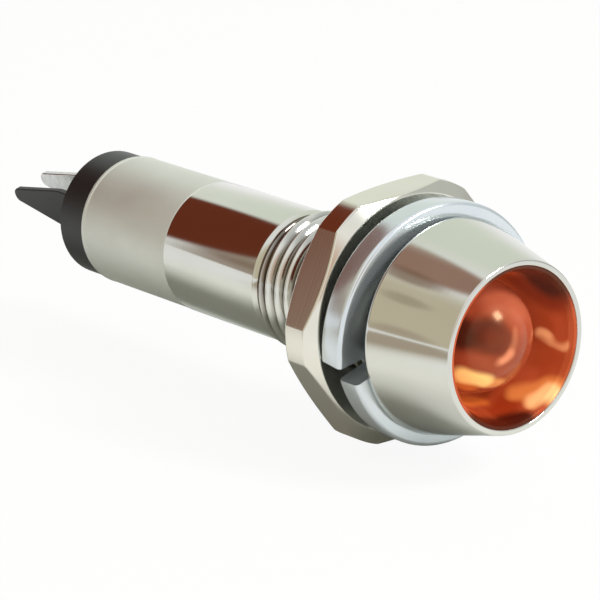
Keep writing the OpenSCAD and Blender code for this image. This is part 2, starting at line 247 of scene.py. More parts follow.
def plated_metal(
    name, colour, cloud_colour, roughness, ring_mm, ring_height_mm, metallic=1.0, root_shade_colour=None
):
    """Turned and plated metal with fine rings, faint clouds and, if asked, painted shade in the
    thread roots.
    """
    material, tree = new_material(name)
    place, squeezed = ring_coordinates(tree, ring_mm)
    rings = add_node(
        tree, "ShaderNodeTexNoise", {"Vector": squeezed.outputs[0], "Scale": 1.0, "Detail": 2.0}
    )
    clouds = add_node(
        tree,
        "ShaderNodeTexNoise",
        {"Vector": place.outputs["Object"], "Scale": 1 / (CLOUD_MM * MM), "Detail": 3.0},
    )
    tint = add_node(
        tree,
        "ShaderNodeMix",
        {"Factor": clouds.outputs["Fac"], "A": srgb(colour), "B": srgb(cloud_colour)},
        data_type="RGBA",
    ).outputs["Result"]
    # painted shade: a brown laid in the thread's roots
    if root_shade_colour:
        root = painted_root_shade_mask(tree, place.outputs["Object"])
        tint = add_node(
            tree,
            "ShaderNodeMix",
            {"Factor": root, "A": tint, "B": srgb(root_shade_colour)},
            data_type="RGBA",
        ).outputs["Result"]
    gloss = add_node(
        tree,
        "ShaderNodeMapRange",
        {
            "Value": clouds.outputs["Fac"],
            "From Min": CLOUD_THIN,
            "From Max": CLOUD_THICK,
            "To Min": roughness * GLOSS_LOW,
            "To Max": roughness * GLOSS_HIGH,
        },
    )
    bump = add_node(
        tree,
        "ShaderNodeBump",
        {"Height": rings.outputs["Fac"], "Distance": ring_height_mm * MM, "Strength": 1.0},
    )
    shader = add_node(
        tree,
        "ShaderNodeBsdfPrincipled",
        {
            "Base Color": tint,
            "Metallic": metallic,
            "Roughness": gloss.outputs[0],
            "Normal": bump.outputs[0],
        },
    )
    finish_material(tree, shader)
    return material


print("Plated metal ready")

# %% The lamp's four platings
# Bright nickel on turned brass: a cool mirror, a touch soft, that shows the room in bands, with
# painted shade in the thread's roots.
bright_nickel = plated_metal(
    "bright_nickel_on_brass", "DADBD5", "D0D1CA", 0.09, 0.15, 0.0012, root_shade_colour="54443A"
)
# Satin nickel on drawn tube: the same metal with a fine matt skin, so the room blurs to grey.
satin_nickel = plated_metal("satin_nickel_on_brass", "E2E5E0", "D8DBD5", 0.62, 0.12, 0.0025)
# Bright nickel on milled bar: the thinner plating lets a little of the brass's yellow through.
nut_nickel = plated_metal("bright_nickel_on_nut", "E6E4DB", "DAD8CC", 0.11, 0.20, 0.0010)
# Bright zinc on spring steel: bluish and paler than nickel, with a slight haze in the mirror.
spring_zinc = plated_metal(
    "bright_zinc_on_spring_steel", "DFE6EA", "CCD5DC", 0.20, 0.25, 0.0015, metallic=0.82
)
platings = [bright_nickel, satin_nickel, nut_nickel, spring_zinc]
print("Platings:", ", ".join(metal.name for metal in platings))

# %% [markdown]
# ## Amber plastic
# The dome is clear amber acrylic and the liner is amber over metal. Light that enters amber
# plastic pools on the far side, so the moulding is dark on the side it enters and has yellow
# glows low down. Tracing that light truly is slow and noisy, and it bakes badly. Here it is painted
# on the piece itself: painted pools of light, painted shade and painted highlights and glints,
# each a soft streak between two points in millimetres. A wavy noise bends their edges, as the
# moulding's uneven wall does, and a weak painted glow stands for the light that comes back out.
# The gloss is tinted, so the white room doesn't lay a grey veil on the amber.


# %% One soft streak
def soft_streak(tree, place, start_mm, end_mm, inner_mm, outer_mm):
    """1 near the line between two points on the piece, 0 far from it, with a soft edge."""
    start = Vector(start_mm) * MM
    along = Vector(end_mm) * MM - start
    from_start = add_node(tree, "ShaderNodeVectorMath", {0: place, 1: start}, operation="SUBTRACT")
    share = add_node(
        tree,
        "ShaderNodeVectorMath",
        {0: from_start.outputs[0], 1: along / along.length_squared},
        operation="DOT_PRODUCT",
    )
    held = add_node(
        tree, "ShaderNodeMath", {0: share.outputs["Value"], 1: 0.0}, operation="ADD", use_clamp=True
    )
    foot = add_node(
        tree, "ShaderNodeVectorMath", {0: along, "Scale": held.outputs[0]}, operation="SCALE"
    )
    away = add_node(
        tree,
        "ShaderNodeVectorMath",
        {0: from_start.outputs[0], 1: foot.outputs[0]},
        operation="DISTANCE",
    )
    return add_node(
        tree,
        "ShaderNodeMapRange",
        {
            "Value": away.outputs["Value"],
            "From Min": inner_mm * MM,
            "From Max": outer_mm * MM,
            "To Min": 1.0,
            "To Max": 0.0,
        },
        interpolation_type="SMOOTHSTEP",
    ).outputs[0]


print("Streak mask ready")


# %% Many streaks
def paint(tree, base, streaks, place):
    """Lays (colour, start, end, inner, outer, share) streaks over a base colour."""
    for colour, start, end, inner, outer, share in streaks:
        mask = soft_streak(tree, place, start, end, inner, outer)
        part = add_node(
            tree, "ShaderNodeMath", {0: mask, 1: share}, operation="MULTIPLY"
        ).outputs[0]
        base = add_node(
            tree, "ShaderNodeMix", {"Factor": part, "A": base, "B": srgb(colour)}, data_type="RGBA"
        ).outputs["Result"]
    return base


print("Streak painting ready")

# %% Amber plastic
MOTTLE_MM = 2.2  # size of the waves in the moulding
RIPPLE_MM = 1.0  # how far they bend the edge of a pool
PLASTIC_IOR = 1.49


def amber_plastic(name, base, streaks, metallic, roughness, glow):
    """Amber plastic: a tinted body with painted light, shade and glow under a clear, hard gloss."""
    material, tree = new_material(name)
    place = add_node(tree, "ShaderNodeTexCoord").outputs["Object"]
    mottle = add_node(
        tree, "ShaderNodeTexNoise", {"Vector": place, "Scale": 1 / (MOTTLE_MM * MM), "Detail": 1.0}
    )
    ripple = add_node(
        tree,
        "ShaderNodeVectorMath",
        {0: mottle.outputs["Color"], 1: (0.5, 0.5, 0.5)},
        operation="SUBTRACT",
    )
    shift = add_node(
        tree,
        "ShaderNodeVectorMath",
        {0: ripple.outputs[0], "Scale": RIPPLE_MM * MM},
        operation="SCALE",
    )
    rippled = add_node(
        tree, "ShaderNodeVectorMath", {0: place, 1: shift.outputs[0]}, operation="ADD"
    )
    body = add_node(
        tree,
        "ShaderNodeValToRGB",
        {"Fac": mottle.outputs["Fac"]},
        stops=[(0.3, base[0]), (0.7, base[1])],
    )
    # painted light, shade, highlights and glints laid over the amber body
    colour = paint(tree, body.outputs["Color"], streaks, rippled.outputs[0])
    shader = add_node(
        tree,
        "ShaderNodeBsdfPrincipled",
        {
            "Base Color": colour,
            "Metallic": metallic,
            "Roughness": roughness,
            "IOR": PLASTIC_IOR,
            "Specular IOR Level": 0.38,
            "Specular Tint": srgb("FFD0A0"),
            # a weak painted glow in the piece's own colour
            "Emission Color": colour,
            "Emission Strength": glow,
        },
    )
    finish_material(tree, shader)
    return material


print("Amber plastic ready")

# %% Painted light and shade on the ambers
# (colour, start and end in mm, full inside, gone outside, share), laid in this order
DOME_PAINTED_LIGHT_AND_SHADE = [
    ("A8543A", (-0.2, -4.8, 3.1), (1.2, -5.4, 2.2), 0.5, 2.0, 0.9),
    ("B05A3E", (1.2, -5.4, 2.4), (2.6, -4.9, 0.6), 0.2, 1.2, 0.7),
    ("4E1E14", (-3.2, -4.6, 1.2), (-1.4, -5.9, 0.9), 0.6, 1.6, 0.95),
    ("38180F", (-3.4, -4.2, 1.9), (-3.0, -4.6, 0.9), 0.3, 1.2, 0.8),
    ("682C1C", (-1.5, -6.0, 0.6), (-0.6, -6.3, 0.6), 0.3, 1.2, 0.8),
    ("C87238", (-3.2, -3.8, -1.9), (-2.0, -4.1, -2.8), 0.3, 1.0, 0.9),
    ("E89C5E", (-2.2, -5.1, -2.3), (-0.4, -5.3, -2.6), 0.3, 1.0, 0.9),
    ("FFD684", (-2.7, -4.6, -1.8), (-1.6, -5.2, -2.2), 0.4, 1.1, 1.0),
    ("DC8A64", (-0.9, -6.2, -0.8), (-0.3, -6.4, -0.4), 0.05, 0.6, 0.8),
    ("C07450", (-0.3, -6.4, -0.4), (0.4, -6.3, 1.0), 0.02, 0.5, 0.4),
]
LINER_PAINTED_LIGHT_AND_SHADE = [
    ("7A2E1C", (3.2, -4.0, 3.0), (4.3, -5.6, 2.4), 0.6, 2.0, 0.8),
    ("40231C", (-1.0, -6.3, 5.2), (3.6, -6.1, 3.8), 1.0, 2.4, 0.95),
    ("8A2A0C", (0.2, -5.0, -4.8), (1.4, -4.4, -4.6), 0.5, 1.4, 0.8),
    ("3A0E08", (-2.8, -6.6, -4.3), (0.8, -6.6, -5.1), 0.7, 1.8, 0.95),
    ("DB7332", (-2.4, -3.6, -3.8), (-0.6, -3.4, -4.3), 0.3, 1.1, 0.8),
    ("E68C48", (2.2, -4.2, -4.2), (3.9, -6.1, -3.4), 0.2, 1.0, 0.7),
    ("FFC080", (2.6, -5.6, -4.4), (3.6, -6.3, -3.8), 0.2, 0.9, 1.0),
    ("FFB47C", (4.35, -3.9, -0.40), (4.85, -6.0, -0.75), 0.15, 0.5, 0.95),
]
print(len(DOME_PAINTED_LIGHT_AND_SHADE), "streaks on the dome and", len(LINER_PAINTED_LIGHT_AND_SHADE), "on the liner")

# %% The three ambers
# Clear amber acrylic, moulded and polished: deep red-brown with a warm, bright highlight, over
# painted light, shade and glints.
lens_amber = amber_plastic(
    "clear_amber_acrylic", ("82361F", "96442B"), DOME_PAINTED_LIGHT_AND_SHADE, 0.0, 0.20, 0.35
)
# Amber film over bright metal: livelier than the dome, with painted shade and painted orange glints
# along the cup.
liner_amber = amber_plastic(
    "amber_tinted_liner", ("9C3E1E", "B04E2D"), LINER_PAINTED_LIGHT_AND_SHADE, 0.2, 0.22, 0.35
)
# Cast amber epoxy, the body of the LED: paler, smooth and even.
led_amber = amber_plastic("cast_amber_epoxy", ("D88A3C", "E0964A"), [], 0.0, 0.10, 0.1)
print("Ambers:", ", ".join(amber.name for amber in [lens_amber, liner_amber, led_amber]))

# %% [markdown]
# ## Other finishes
# The plug and the holder are moulded black plastic with a fine spark-eroded grain. The tags and
# leads are tinned, which is duller than plating. The wiring pieces inside carry simple finishes
# with the grain that their surfaces have.


# %% Grained finish
def grained(name, colour, light_colour, roughness, grain_mm, height_mm, metallic=0.0):
    """A surface with a fine even grain and slight changes of tone."""
    material, tree = new_material(name)
    place = add_node(tree, "ShaderNodeTexCoord").outputs["Object"]
    grain = add_node(
        tree, "ShaderNodeTexNoise", {"Vector": place, "Scale": 1 / (grain_mm * MM), "Detail": 3.0}
    )
    tone = add_node(
        tree,
        "ShaderNodeValToRGB",
        {"Fac": grain.outputs["Fac"]},
        stops=[(0.3, colour), (0.75, light_colour)],
    )
    bump = add_node(
        tree,
        "ShaderNodeBump",
        {"Height": grain.outputs["Fac"], "Distance": height_mm * MM, "Strength": 1.0},
    )
    shader = add_node(
        tree,
        "ShaderNodeBsdfPrincipled",
        {
            "Base Color": tone.outputs["Color"],
            "Metallic": metallic,
            "Roughness": roughness,
            "Normal": bump.outputs[0],
        },
    )
    finish_material(tree, shader)
    return material


print("Grained finish ready")


# %% Banded finish
def banded(name, base, bands, roughness):
    """A body with painted rings: (start, end, hex colour) in mm along the lamp."""
    material, tree = new_material(name)
    place = add_node(tree, "ShaderNodeTexCoord").outputs["Object"]
    along = add_node(tree, "ShaderNodeSeparateXYZ", {0: place}).outputs["Y"]
    colour = srgb(base)
    for start, end, hue in bands:
        middle, half = (start + end) / 2 * MM, (end - start) / 2 * MM
        inside = add_node(
            tree, "ShaderNodeMath", {0: along, 1: middle, 2: half}, operation="COMPARE"
        ).outputs[0]
        colour = add_node(
            tree, "ShaderNodeMix", {"Factor": inside, "A": colour, "B": srgb(hue)}, data_type="RGBA"
        ).outputs["Result"]
    shader = add_node(
        tree, "ShaderNodeBsdfPrincipled", {"Base Color": colour, "Roughness": roughness}
    )
    finish_material(tree, shader)
    return material


print("Banded finish ready")

# %% Plastics and tinned metals
# Black nylon from a spark-eroded mould: near black with a soft, broken sheen.
plug_black = grained("moulded_black_nylon", "0B0B0D", "17181B", 0.42, 0.18, 0.004)
# The same kind of plastic with less sheen, for the holder inside.
holder_black = grained("moulded_black_holder", "101012", "1C1C1F", 0.5, 0.2, 0.004)
# Undyed extruded tube: milky cream and slightly waxy.
tube_natural = grained("extruded_natural_tube", "CFC8AE", "DDD7C0", 0.45, 0.4, 0.002)
# Hot-tinned brass: a pale grey metal with a faintly uneven skin.
tinned = grained("hot_tinned_brass", "C2C4C4", "D8DAD9", 0.24, 0.5, 0.004, metallic=1.0)
# The near tag: a shaded copy of the tinned brass, almost black with a dull metal gleam: painted
# shade.
tinned_shaded = grained("shaded_tinned_brass", "121214", "1E1F22", 0.45, 0.4, 0.005, metallic=0.1)
print("Plastics and tags finished")

# %% Finishes of the wiring
# Fresh solder: a bright grey, rounder and shinier than the tinned strip.
solder_bright = grained("bright_solder", "AEB1B4", "C4C7C9", 0.2, 0.6, 0.006, metallic=1.0)
# Drawn gold wire: a warm yellow hair.
gold_wire = grained("drawn_gold_wire", "D9B45A", "E6C573", 0.2, 0.1, 0.0005, metallic=1.0)
# A sawn chip: a matt yellow square.
chip_face = grained("sawn_chip", "D8BE54", "E6CF6E", 0.35, 0.08, 0.0005)
body_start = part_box("resistor_body")[0].y / MM
resistor_bands = [
    (body_start + 0.9, body_start + 1.4, "7A4A22"),
    (body_start + 2.3, body_start + 2.8, "151515"),
    (body_start + 3.3, body_start + 3.8, "C2502A"),
    (body_start + 4.9, body_start + 5.4, "C9A23A"),
]
# Dipped lacquer with painted rings: a glossy tan body that tells its value by colour.
resistor_lacquer = banded("dipped_resistor_lacquer", "C8AC78", resistor_bands, 0.35)
# Moulded epoxy: glossy black with one pale ring at the cathode end.
diode_epoxy = banded(
    "moulded_diode_epoxy", "121214", [(body_start + 0.6, body_start + 1.2, "BEBEBE")], 0.3
)
print("Wiring finished from", round(body_start, 2), "mm along the lamp")

# %% [markdown]
# ## Turned pieces
# A turned piece is its half section swept once round the axis. The corners of the section are
# rounded with small arcs, because the thin highlight on an edge is what makes metal look real.


# %% Rounded section
def rounded(points, steps=5):
    """Rounds the corners of a section. Each point is (radius, y) or (radius, y, fillet)."""
    result = []
    count = len(points)
    for i, point in enumerate(points):
        fillet = point[2] if len(point) > 2 else 0
        here = Vector(point[:2])
        if fillet <= 0:
            result.append(here)
            continue
        back = (Vector(points[i - 1][:2]) - here).normalized()
        ahead = (Vector(points[(i + 1) % count][:2]) - here).normalized()
        half = back.angle(ahead) / 2
        reach = fillet / math.tan(half)
        centre = here + (back + ahead).normalized() * (fillet / math.sin(half))
        start = here + back * reach - centre
        end = here + ahead * reach - centre
        turn = start.angle_signed(end)
        for k in range(steps + 1):
            result.append(centre + Matrix.Rotation(-turn * k / steps, 2) @ start)
    return result


print("Section helper ready")


# %% Arc of a sphere
def dome(radius, centre_y, start_deg, end_deg, steps):
    """Points of an arc of a sphere, with 0 degrees at the front of the lamp's axis."""
    angles = [math.radians(start_deg + (end_deg - start_deg) * k / steps) for k in range(steps + 1)]
    return [(radius * math.sin(a), centre_y - radius * math.cos(a)) for a in angles]


print("Arc helper ready")

# %% From mesh to piece
MERGE_DISTANCE = 1e-7  # in metres: points nearer than this are one


def to_object(name, mesh, material):
    """Makes a mesh an object at the origin with one material."""
    piece = bpy.data.objects.new(name, mesh)
    mesh.materials.clear()
    mesh.materials.append(material)
    bpy.context.scene.collection.objects.link(piece)
    return piece


def tidy_mesh(mesh, sharp_deg=35):
    """Merges doubles, turns the faces outwards and shades smooth between sharp edges."""
    work = bmesh.new()
    work.from_mesh(mesh)
    bmesh.ops.remove_doubles(work, verts=work.verts, dist=MERGE_DISTANCE)
    bmesh.ops.recalc_face_normals(work, faces=work.faces)
    work.to_mesh(mesh)
    work.free()
    mesh.shade_smooth()
    mesh.set_sharp_from_angle(angle=math.radians(sharp_deg))
    return mesh


print("Mesh helpers ready")

# %% Lathe
ON_AXIS = 1e-9  # in mm: a radius under this is on the axis, where no face is needed


def lathe_mesh(name, section, segments=160):
    """A closed section in mm swept round the lamp's axis."""
    points = [Vector(p[:2]) for p in section]
    count = len(points)
    verts, faces = [], []
    for s in range(segments):
        a = 2 * math.pi * s / segments
        verts += [(p.x * math.cos(a) * MM, p.y * MM, p.x * math.sin(a) * MM) for p in points]
    for s in range(segments):
        here, after = s * count, (s + 1) % segments * count
        for k in range(count):
            m = (k + 1) % count
            if points[k].x < ON_AXIS and points[m].x < ON_AXIS:
                continue
            faces.append((here + k, here + m, after + m, after + k))
    mesh = bpy.data.meshes.new(name)
    mesh.from_pydata(verts, [], faces)
    return tidy_mesh(mesh)


print("Lathe ready")


# %% Ride on a body
def settle(piece, body, slot, *nodes):
    """Rides a piece on its body and hides the CAD nodes that it stands for; the slot is not used.
    """
    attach(piece, body)
    if nodes:
        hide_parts(*nodes)
    print(f"{piece.name}: {len(piece.data.polygons)} faces on {body}")
    return piece


# %% [markdown]
# ## One tree for everything that winds
# The mounting thread and the spring washer are both a section that winds round the axis, so one
# Geometry Nodes tree makes both. A flat spiral is the path. Its points are raised by the Rise
# times their share of the path to the power of Curl, so 1 climbs evenly and more climbs late.
# A curve to mesh node carries the section along the path. Over the Run-out share of the path, the
# section shrinks to its End size, as a thread fades out where the tool leaves it. An End size of
# 1 keeps the section whole.


# %% The winding tree
def winding_tree():
    """A node group that sweeps a section object along a helix."""
    tree = bpy.data.node_groups.new("winding", "GeometryNodeTree")
    face = tree.interface
    face.new_socket("Geometry", in_out="OUTPUT", socket_type="NodeSocketGeometry")
    for name, kind in [
        ("Section", "NodeSocketObject"),
        ("Radius", "NodeSocketFloat"),
        ("Turns", "NodeSocketFloat"),
        ("Rise", "NodeSocketFloat"),
        ("Curl", "NodeSocketFloat"),
        ("Steps per turn", "NodeSocketInt"),
        ("Run-out", "NodeSocketFloat"),
        ("End size", "NodeSocketFloat"),
        ("Material", "NodeSocketMaterial"),
    ]:
        face.new_socket(name, in_out="INPUT", socket_type=kind)
    given = add_node(tree, "NodeGroupInput").outputs
    spiral = add_node(
        tree,
        "GeometryNodeCurveSpiral",
        {
            "Resolution": given["Steps per turn"],
            "Rotations": given["Turns"],
            "Start Radius": given["Radius"],
            "End Radius": given["Radius"],
            "Height": 0.0,
            "Reverse": True,
        },
    )
    along = add_node(tree, "GeometryNodeSplineParameter").outputs["Factor"]
    curled = add_node(tree, "ShaderNodeMath", {0: along, 1: given["Curl"]}, operation="POWER")
    climb = add_node(
        tree, "ShaderNodeMath", {0: curled.outputs[0], 1: given["Rise"]}, operation="MULTIPLY"
    )
    upwards = add_node(tree, "ShaderNodeCombineXYZ", {"Z": climb.outputs[0]})
    raised = add_node(
        tree,
        "GeometryNodeSetPosition",
        {"Geometry": spiral.outputs[0], "Offset": upwards.outputs[0]},
    )
    upright = add_node(
        tree, "GeometryNodeSetCurveNormal", {"Curve": raised.outputs[0]}, mode="Z_UP"
    )
    flipped = add_node(tree, "ShaderNodeMath", {0: 1.0, 1: along}, operation="SUBTRACT").outputs[0]
    nearest = add_node(tree, "ShaderNodeMath", {0: along, 1: flipped}, operation="MINIMUM")
    scale = add_node(
        tree,
        "ShaderNodeMapRange",
        {
            "Value": nearest.outputs[0],
            "From Max": given["Run-out"],
            "To Min": given["End size"],
        },
    )
    section = add_node(tree, "GeometryNodeObjectInfo", {"Object": given["Section"]})
    swept = add_node(
        tree,
        "GeometryNodeCurveToMesh",
        {
            "Curve": upright.outputs[0],
            "Profile Curve": section.outputs["Geometry"],
            "Scale": scale.outputs[0],
            "Fill Caps": True,
        },
    )
    real = add_node(tree, "GeometryNodeRealizeInstances", {"Geometry": swept.outputs[0]})
    dressed = add_node(
        tree,
        "GeometryNodeSetMaterial",
        {"Geometry": real.outputs[0], "Material": given["Material"]},
    )
    add_node(tree, "NodeGroupOutput", {"Geometry": dressed.outputs[0]})
    return tree


winding = winding_tree()
print("Winding tree with", len(winding.nodes), "nodes")


# %% Run the winding tree
def section_curve(name, points_mm):
    """A closed poly curve from (out, along) points in mm, where out is away from the axis."""
    curve = bpy.data.curves.new(name, "CURVE")
    curve.dimensions = "2D"
    spline = curve.splines.new("POLY")
    spline.points.add(len(points_mm) - 1)
    for point, (out, along) in zip(spline.points, points_mm):
        point.co = (out * MM, along * MM, 0, 1)
    spline.use_cyclic_u = True
    holder = bpy.data.objects.new(name, curve)
    bpy.context.scene.collection.objects.link(holder)
    return holder


def wind(name, tree, section_points, values, material):
    """Runs the winding tree once and returns its result as a plain mesh along local Z."""
    section = section_curve(name + "_section", section_points)
    carrier = bpy.data.objects.new(name + "_carrier", bpy.data.meshes.new(name + "_carrier"))
    bpy.context.scene.collection.objects.link(carrier)
    modifier = carrier.modifiers.new("winding", "NODES")
    modifier.node_group = tree
    inputs = {**values, "Section": section, "Material": material}
    for item in tree.interface.items_tree:
        if item.in_out == "INPUT":
            modifier[item.identifier] = inputs[item.name]
    bpy.context.view_layer.update()
    graph = bpy.context.evaluated_depsgraph_get()
    mesh = bpy.data.meshes.new_from_object(carrier.evaluated_get(graph))
    carrier.modifiers.remove(modifier)
    bpy.data.objects.remove(carrier)
    bpy.data.objects.remove(section)
    return mesh


print("Inputs:", ", ".join(i.name for i in winding.interface.items_tree if i.in_out == "INPUT"))

# %% [markdown]
# ## Bezel
# The bezel is one turned piece: the tapered head, the thread, the barrel and the spigot. Its
# sizes are read from the CAD boxes where a box shows them. The thread is a ridge wound on a core
# of the root diameter, 1 mm to the turn, right-handed.

# %% Bezel sizes
bezel_low, bezel_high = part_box("bezel_body")
sleeve_low, sleeve_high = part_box("rear_sleeve")
HEAD_LEN = -bezel_low.y / MM
HEAD_R = bezel_high.x / MM
SPIGOT_END = bezel_high.y / MM
SEAM = sleeve_low.y / MM
SLEEVE_END = sleeve_high.y / MM
SLEEVE_R = sleeve_high.x / MM
RIM_R = 5.87
MOUTH_R = 5.52
POCKET_R = 4.55
POCKET_Y = -2.1
LENS_SEAT = -1.3
BARREL_R = 4.73
BORE_R = 3.7
SPIGOT_R = 4.15
SPIGOT_BORE_R = 3.75
SPIGOT_BORE_START = SEAM - 0.8
SHOULDER_CHAMFER = 0.2
SLOPE_START, SLOPE_END = THREAD_END - 0.5, THREAD_END - 0.1  # from the root up to the barrel
print("Head", round(HEAD_LEN, 2), "mm long, seam at", round(SEAM, 2), "mm")

# %% Turned body
bezel_section = rounded(
    [
        (MOUTH_R, -HEAD_LEN, 0.08),
        (RIM_R, -HEAD_LEN, 0.14),
        (HEAD_R, -SHOULDER_CHAMFER, 0.35),
        (HEAD_R - SHOULDER_CHAMFER, 0.0, 0.08),
        (THREAD_ROOT_R, 0.0),
        (THREAD_ROOT_R, SLOPE_START),
        (BARREL_R, SLOPE_END, 0.15),
        (BARREL_R, SEAM, 0.1),
        (SPIGOT_R, SEAM),
        (SPIGOT_R, SPIGOT_END, 0.1),
        (SPIGOT_BORE_R, SPIGOT_END),
        (SPIGOT_BORE_R, SPIGOT_BORE_START),
        (BORE_R, SPIGOT_BORE_START),
        (BORE_R, LENS_SEAT),
        (POCKET_R, LENS_SEAT),
        (POCKET_R, POCKET_Y),
    ]
)
bezel_mesh = lathe_mesh("bezel", bezel_section, segments=192)
print("Turned body:", len(bezel_section), "points in its section")

# %% Mounting thread
THREAD_PITCH = 1.0
THREAD_START = 0.6
# (out from the root, along the lamp) in mm: a ridge of about 60 degrees with a rounded crest
ridge_points = [
    (-0.08, -0.46),
    (0.02, -0.42),
    (0.51, -0.09),
    (0.55, -0.04),
    (0.55, 0.04),
    (0.51, 0.09),
    (0.02, 0.42),
    (-0.08, 0.46),
]
thread_turns = (THREAD_END - 2 * THREAD_START) / THREAD_PITCH
thread_mesh = wind(
    "thread",
    winding,
    ridge_points,
    {
        "Radius": THREAD_ROOT_R * MM,
        "Turns": thread_turns,
        "Rise": thread_turns * THREAD_PITCH * MM,
        "Curl": 1.0,
        "Steps per turn": 96,
        "Run-out": 0.04,
        "End size": 0.05,
    },
    bright_nickel,
)
lay_along = Matrix.Rotation(-math.pi / 2, 4, "X")
thread_mesh.transform(Matrix.Translation((0, THREAD_START * MM, 0)) @ lay_along)
tidy_mesh(thread_mesh, sharp_deg=50)
print("Thread:", round(thread_turns, 1), "turns")


# %% Bezel
def joined(name, meshes):
    """Several meshes as one."""
    work = bmesh.new()
    for mesh in meshes:
        work.from_mesh(mesh)
    result = bpy.data.meshes.new(name)
    work.to_mesh(result)
    work.free()
    return result


bezel = to_object("bezel", joined("bezel", [bezel_mesh, thread_mesh]), bright_nickel)
settle(bezel, "housing", "nickel_plate", "bezel_body")

# %% [markdown]
# ## Spring washer
# The washer is one open turn of flat wire. It climbs the other way from the thread, so that its
# sharp ends bite if the nut backs off, and most of it lies flat against the head: only the last
# part curls up to the nut. The same tree winds it, with a rounded section.

# %% Washer sizes
washer_low, washer_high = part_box("spring_washer")
WASHER_R = 8.3
WASHER_HOLE_R = 5.3
WASHER_T = 1.9
WASHER_CURL = 4.0  # the power of the climb: 1 is even, more is later
SPLIT_ANGLE = 195.5  # degrees round the axis
SPLIT_GAP = 0.9
washer_front = washer_low.y / MM
washer_rise = (washer_high.y - washer_low.y) / MM - WASHER_T
split_turn = math.degrees(SPLIT_GAP / WASHER_R)
half_w = (WASHER_R - WASHER_HOLE_R) / 2
print("Washer rises", round(washer_rise, 2), "mm, split", round(split_turn, 1), "degrees wide")

# %% Spring washer
washer_section = rounded(
    [
        (-half_w, -WASHER_T / 2, 0.25),
        (half_w, -WASHER_T / 2, 0.3),
        (half_w, WASHER_T / 2, 0.3),
        (-half_w, WASHER_T / 2, 0.25),
    ],
    steps=6,
)
washer_mesh = wind(
    "washer",
    winding,
    washer_section,
    {
        "Radius": (WASHER_R + WASHER_HOLE_R) / 2 * MM,
        "Turns": 1 - split_turn / 360,
        "Rise": -washer_rise * MM,
        "Curl": WASHER_CURL,
        "Steps per turn": 240,
        "Run-out": 0.04,
        "End size": 1.0,
    },
    spring_zinc,
)
start_turn = Matrix.Rotation(-math.radians(SPLIT_ANGLE + split_turn / 2), 4, "Y")
lay_back = Matrix.Translation((0, (washer_front + WASHER_T / 2) * MM, 0)) @ Matrix.Rotation(
    math.pi / 2, 4, "X"
)
washer_mesh.transform(start_turn @ lay_back)
washer = to_object("split_washer", tidy_mesh(washer_mesh, sharp_deg=40), spring_zinc)
settle(washer, "washer", "plated_spring_steel", "spring_washer")

# %% [markdown]
# ## Hexagon nut
# The nut is cut from hexagonal bar whose corners were turned down a little first. A turned
# chamfer then cuts both faces in curves, which gives each flat its rounded outline. Round the
# axis the hexagon's edge moves in and out, and the chamfer is a cone, so the height where the two
# meet at any angle is a short formula. The ends of the turned corners fall on a step of the sweep.

# %% Nut sizes
nut_low, nut_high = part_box("hex_nut")
NUT_AF = 17.0  # across the flats
NUT_CORNER_R = 9.178
NUT_TURN = 5.4  # degrees from +X to the first corner
NUT_CHAMFER = 30.0  # degrees
NUT_FACE_INSET = 0.2
NUT_BORE_R = 5.06
NUT_BORE_CHAMFER = 0.35
NUT_EDGE = 0.12  # width of the rounded edges
nut_front, nut_back = nut_low.y / MM, nut_high.y / MM
nut_face_r = NUT_AF / 2 - NUT_FACE_INSET
corner_half = 30 - math.degrees(math.acos(NUT_AF / 2 / NUT_CORNER_R))
print("Nut", round(nut_back - nut_front, 2), "mm thick, each turned corner over", end=" ")
print(round(2 * corner_half, 1), "degrees")


# %% Section of the nut
def nut_ring(angle):
    """The section of the nut at an angle from one of its corners, in degrees."""
    from_flat = math.radians((angle % 60) - 30)
    edge_r = min(NUT_AF / 2 / math.cos(from_flat), NUT_CORNER_R)
    drop = (edge_r - nut_face_r) * math.tan(math.radians(NUT_CHAMFER))
    return [
        (NUT_BORE_R, nut_front + NUT_BORE_CHAMFER),
        (NUT_BORE_R + NUT_BORE_CHAMFER, nut_front),
        (nut_face_r, nut_front),
        (edge_r, nut_front + drop),
        (edge_r, nut_back - drop),
        (nut_face_r, nut_back),
        (NUT_BORE_R + NUT_BORE_CHAMFER, nut_back),
        (NUT_BORE_R, nut_back - NUT_BORE_CHAMFER),
    ]


print("Nut's edge at a corner and a flat:", [round(nut_ring(a)[3][0], 2) for a in (0, 30)], "mm")

# %% Sweep of the nut
NUT_STEP = 1.5  # degrees


def nut_angles():
    """The angles of the sweep over one flat, with the ends of the turned corner among them."""
    ends = [corner_half, 60 - corner_half]
    even = [NUT_STEP * k for k in range(int(60 / NUT_STEP))]
    kept = [a for a in even if all(abs(a - end) > NUT_STEP / 3 for end in ends)]
    return sorted(kept + ends)


print(len(nut_angles()), "steps over one flat")


# %% Hexagon nut
def nut_mesh():
    """The nut as rings of its section."""
    verts, faces = [], []
    count = len(nut_ring(0))
    angles = [60 * flat + a for flat in range(6) for a in nut_angles()]
    steps = len(angles)
    for angle in angles:
        a = math.radians(angle + NUT_TURN)
        verts += [(r * math.cos(a) * MM, y * MM, r * math.sin(a) * MM) for r, y in nut_ring(angle)]
    for s in range(steps):
        here, after = s * count, (s + 1) % steps * count
        for k in range(count):
            m = (k + 1) % count
            faces.append((here + k, here + m, after + m, after + k))
    mesh = bpy.data.meshes.new("nut")
    mesh.from_pydata(verts, [], faces)
    return tidy_mesh(mesh, sharp_deg=20)


nut = to_object("nut", nut_mesh(), nut_nickel)
edge_round = nut.modifiers.new("edge_round", "BEVEL")
edge_round.width = NUT_EDGE * MM
edge_round.segments = 3
edge_round.limit_method = "ANGLE"
edge_round.angle_limit = math.radians(20)
edge_round.harden_normals = True
settle(nut, "nut", "nut_plate", "hex_nut")

# %% [markdown]
# ## Rear sleeve and plug
# The sleeve is thin drawn tube with its rear edge rolled into a small bead. The plug's spigot
# hides inside it, and only its black head shows.

